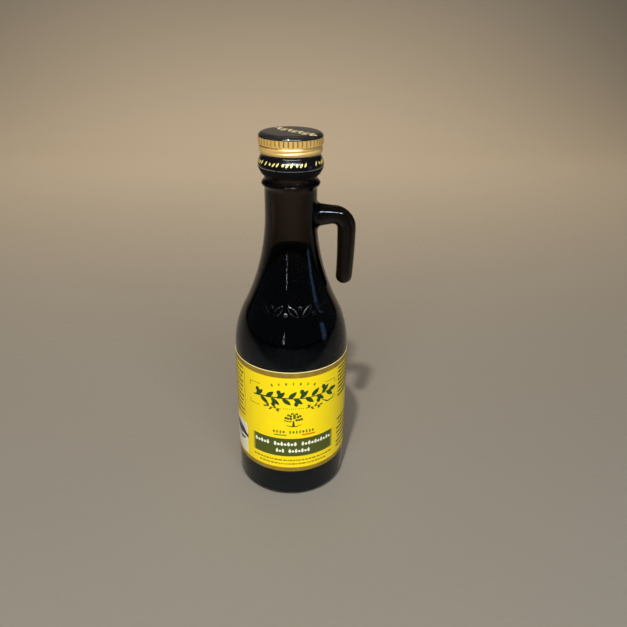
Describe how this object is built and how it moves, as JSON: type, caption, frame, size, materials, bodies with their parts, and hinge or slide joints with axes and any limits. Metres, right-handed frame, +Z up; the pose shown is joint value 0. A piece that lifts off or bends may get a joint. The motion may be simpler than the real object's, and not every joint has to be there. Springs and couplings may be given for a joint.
{
  "type": "olive oil bottle",
  "caption": "Small dark glass oil bottle with a bell shoulder, hook handle, rolled-on screw cap, yellow wrap label and oil up to the neck.",
  "frame": {"origin": "middle of the ring that the bottle stands on", "axes": "+Z up the bottle's axis, +X towards the hook handle, -Y towards the middle of the label's front"},
  "size_m": [0.0637, 0.0616, 0.1962],
  "materials": {
    "bottle_glass": "very dark brown-green bottle glass, smooth and glossy, moulded in one piece with its hook handle",
    "oil": "clear green-gold olive oil, which reads nearly black through the dark glass",
    "cap_metal": "thin rolled aluminium, gold lacquer on the knurl and thread, satin black lacquer on the top and the tear band",
    "label_paper": "coated yellow paper with dull gold borders, dark green, cream and white printed shapes and no lettering"
  },
  "bodies": {
    "root": {"glass_bottle": "bottle_glass", "oil": "oil", "closure": "cap_metal", "label": "label_paper"}
  },
  "joints": []
}
